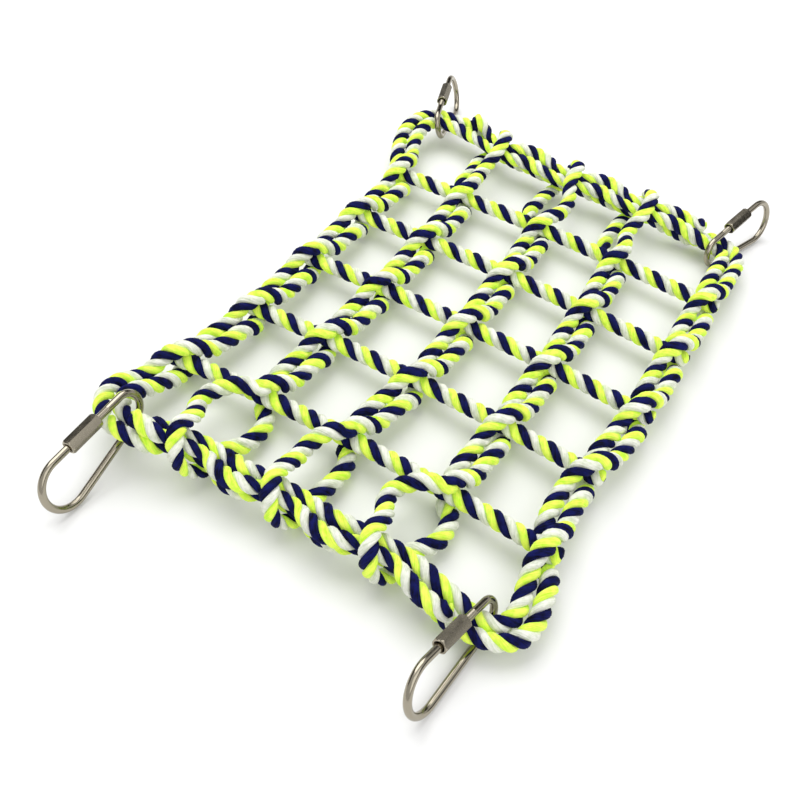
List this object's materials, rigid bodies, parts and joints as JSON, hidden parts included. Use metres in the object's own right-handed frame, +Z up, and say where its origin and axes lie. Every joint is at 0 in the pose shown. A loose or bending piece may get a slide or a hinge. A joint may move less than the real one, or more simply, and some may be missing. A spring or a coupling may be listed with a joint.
{
  "type": "rope climbing net",
  "caption": "Small net of twisted three-colour rope with doubled lengthwise ropes, loops round the end borders and a screw quick link at each corner",
  "frame": {"origin": "on the ground under the middle crossing of the net", "axes": "+Y along the net from the near end to the far end, +X to the right, +Z up away from the ground"},
  "size_m": [0.2319, 0.4124, 0.0329],
  "materials": {
    "net_rope": "soft twisted fibre",
    "border_rope": "soft twisted fibre",
    "cross_rope": "soft twisted fibre",
    "link_wire": "bright nickel plate",
    "link_sleeve": "satin nickel plate"
  },
  "bodies": {
    "middle_panel": {"cross_rope_3": "cross_rope", "inner_left_rope_a_panel_3": "net_rope", "inner_left_rope_b_panel_3": "net_rope", "inner_middle_rope_a_panel_3": "net_rope", "inner_middle_rope_b_panel_3": "net_rope", "inner_right_rope_a_panel_3": "net_rope", "inner_right_rope_b_panel_3": "net_rope", "left_edge_rope_a_panel_3": "border_rope", "left_edge_rope_b_panel_3": "border_rope", "right_edge_rope_a_panel_3": "border_rope", "right_edge_rope_b_panel_3": "border_rope"},
    "near_middle_panel": {"cross_rope_2": "cross_rope", "inner_left_rope_a_panel_2": "net_rope", "inner_left_rope_b_panel_2": "net_rope", "inner_middle_rope_a_panel_2": "net_rope", "inner_middle_rope_b_panel_2": "net_rope", "inner_right_rope_a_panel_2": "net_rope", "inner_right_rope_b_panel_2": "net_rope", "left_edge_rope_a_panel_2": "border_rope", "left_edge_rope_b_panel_2": "border_rope", "right_edge_rope_a_panel_2": "border_rope", "right_edge_rope_b_panel_2": "border_rope"},
    "far_middle_panel": {"cross_rope_4": "cross_rope", "inner_left_rope_a_panel_4": "net_rope", "inner_left_rope_b_panel_4": "net_rope", "inner_middle_rope_a_panel_4": "net_rope", "inner_middle_rope_b_panel_4": "net_rope", "inner_right_rope_a_panel_4": "net_rope", "inner_right_rope_b_panel_4": "net_rope", "left_edge_rope_a_panel_4": "border_rope", "left_edge_rope_b_panel_4": "border_rope", "right_edge_rope_a_panel_4": "border_rope", "right_edge_rope_b_panel_4": "border_rope"},
    "near_panel": {"cross_rope_1": "cross_rope", "near_border_core_rope": "border_rope", "near_border_inner_rope": "border_rope", "near_border_outer_rope": "border_rope", "near_loop_left_rope": "net_rope", "near_loop_middle_rope": "net_rope", "near_loop_right_rope": "net_rope"},
    "far_panel": {"cross_rope_5": "cross_rope", "far_border_core_rope": "border_rope", "far_border_inner_rope": "border_rope", "far_border_outer_rope": "border_rope", "far_loop_left_rope": "net_rope", "far_loop_middle_rope": "net_rope", "far_loop_right_rope": "net_rope"},
    "near_left_link": {"near_left_link_body": "link_wire"},
    "near_left_sleeve": {"near_left_link_sleeve": "link_sleeve"},
    "near_right_link": {"near_right_link_body": "link_wire"},
    "near_right_sleeve": {"near_right_link_sleeve": "link_sleeve"},
    "far_left_link": {"far_left_link_body": "link_wire"},
    "far_left_sleeve": {"far_left_link_sleeve": "link_sleeve"},
    "far_right_link": {"far_right_link_body": "link_wire"},
    "far_right_sleeve": {"far_right_link_sleeve": "link_sleeve"}
  },
  "joints": [
    {"name": "near_middle_fold", "type": "hinge", "parent": "middle_panel", "child": "near_middle_panel", "pos_m": [0, -0.025, 0.0123], "axis": [-1, 0, 0], "range_deg": [-45, 45]},
    {"name": "far_middle_fold", "type": "hinge", "parent": "middle_panel", "child": "far_middle_panel", "pos_m": [0, 0.025, 0.0123], "axis": [1, 0, 0], "range_deg": [-45, 45]},
    {"name": "near_fold", "type": "hinge", "parent": "near_middle_panel", "child": "near_panel", "pos_m": [0, -0.075, 0.0123], "axis": [-1, 0, 0], "range_deg": [-45, 45]},
    {"name": "far_fold", "type": "hinge", "parent": "far_middle_panel", "child": "far_panel", "pos_m": [0, 0.075, 0.0123], "axis": [1, 0, 0], "range_deg": [-45, 45]},
    {"name": "near_left_link_swing", "type": "hinge", "parent": "near_panel", "child": "near_left_link", "pos_m": [-0.09238, -0.15637, 0.0207], "axis": [-0.9903, 0.1392, 0], "range_deg": [-14, 14]},
    {"name": "near_right_link_swing", "type": "hinge", "parent": "near_panel", "child": "near_right_link", "pos_m": [0.08492, -0.1515, 0.0098], "axis": [-1, 0, 0], "range_deg": [-28, 16]},
    {"name": "far_left_link_swing", "type": "hinge", "parent": "far_panel", "child": "far_left_link", "pos_m": [-0.10512, 0.16169, 0.0152], "axis": [0.9397, 0.342, 0], "range_deg": [-18, 22]},
    {"name": "far_right_link_swing", "type": "hinge", "parent": "far_panel", "child": "far_right_link", "pos_m": [0.0889, 0.15377, 0.0104], "axis": [0.9455, -0.3256, 0], "range_deg": [-28, 16]},
    {"name": "near_left_sleeve_slide", "type": "slide", "parent": "near_left_link", "child": "near_left_sleeve", "axis": [0.0015, -0.9943, -0.1069], "range_m": [0, 0.0083], "stiffness_N_per_m": 20},
    {"name": "near_right_sleeve_slide", "type": "slide", "parent": "near_right_link", "child": "near_right_sleeve", "axis": [-0.1352, -0.9693, 0.2054], "range_m": [0, 0.0083], "stiffness_N_per_m": 20},
    {"name": "far_left_sleeve_slide", "type": "slide", "parent": "far_left_link", "child": "far_left_sleeve", "axis": [-0.3237, 0.9453, 0.0412], "range_m": [0, 0.0083], "stiffness_N_per_m": 20},
    {"name": "far_right_sleeve_slide", "type": "slide", "parent": "far_right_link", "child": "far_right_sleeve", "axis": [0.2604, 0.9466, 0.1899], "range_m": [0, 0.0083], "stiffness_N_per_m": 20}
  ]
}
